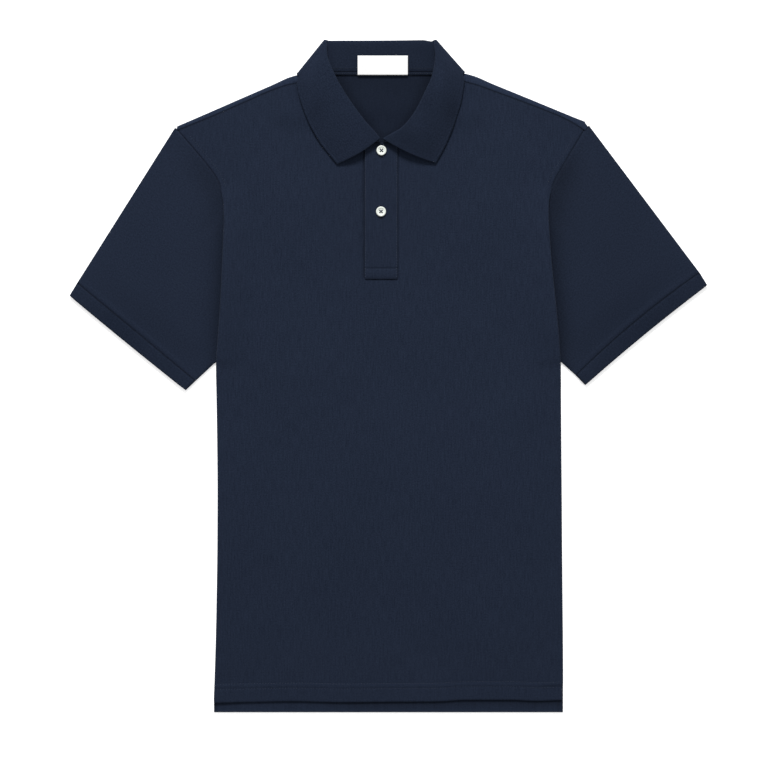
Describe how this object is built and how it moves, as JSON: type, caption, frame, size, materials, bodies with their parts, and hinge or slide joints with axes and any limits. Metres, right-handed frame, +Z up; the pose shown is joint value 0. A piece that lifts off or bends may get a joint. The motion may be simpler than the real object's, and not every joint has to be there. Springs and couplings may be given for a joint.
{
  "type": "polo shirt",
  "caption": "Short-sleeved knitted polo shirt laid flat, with ribbed collar and sleeve bands, buttoned placket and longer back hem.",
  "frame": {"origin": "on the table, under the middle of the shirt's outline", "axes": "+Y from the hem to the collar, +X to the right of a viewer who looks down at the front, +Z up from the table"},
  "size_m": [0.7266, 0.7668, 0.0121],
  "materials": {
    "pique": "navy cotton pique knit, matt",
    "rib": "navy flat-knit rib, matt",
    "woven_label": "white woven label, bare",
    "button": "off-white pearl button"
  },
  "bodies": {
    "root": {"front": "pique", "back": "pique", "sleeve_left": "pique", "sleeve_right": "pique", "placket_top": "pique", "placket_under": "pique", "neck_tape": "pique", "collar": "rib", "cuff_left": "rib", "cuff_right": "rib", "label": "woven_label", "button_upper": "button", "button_lower": "button"}
  },
  "joints": []
}
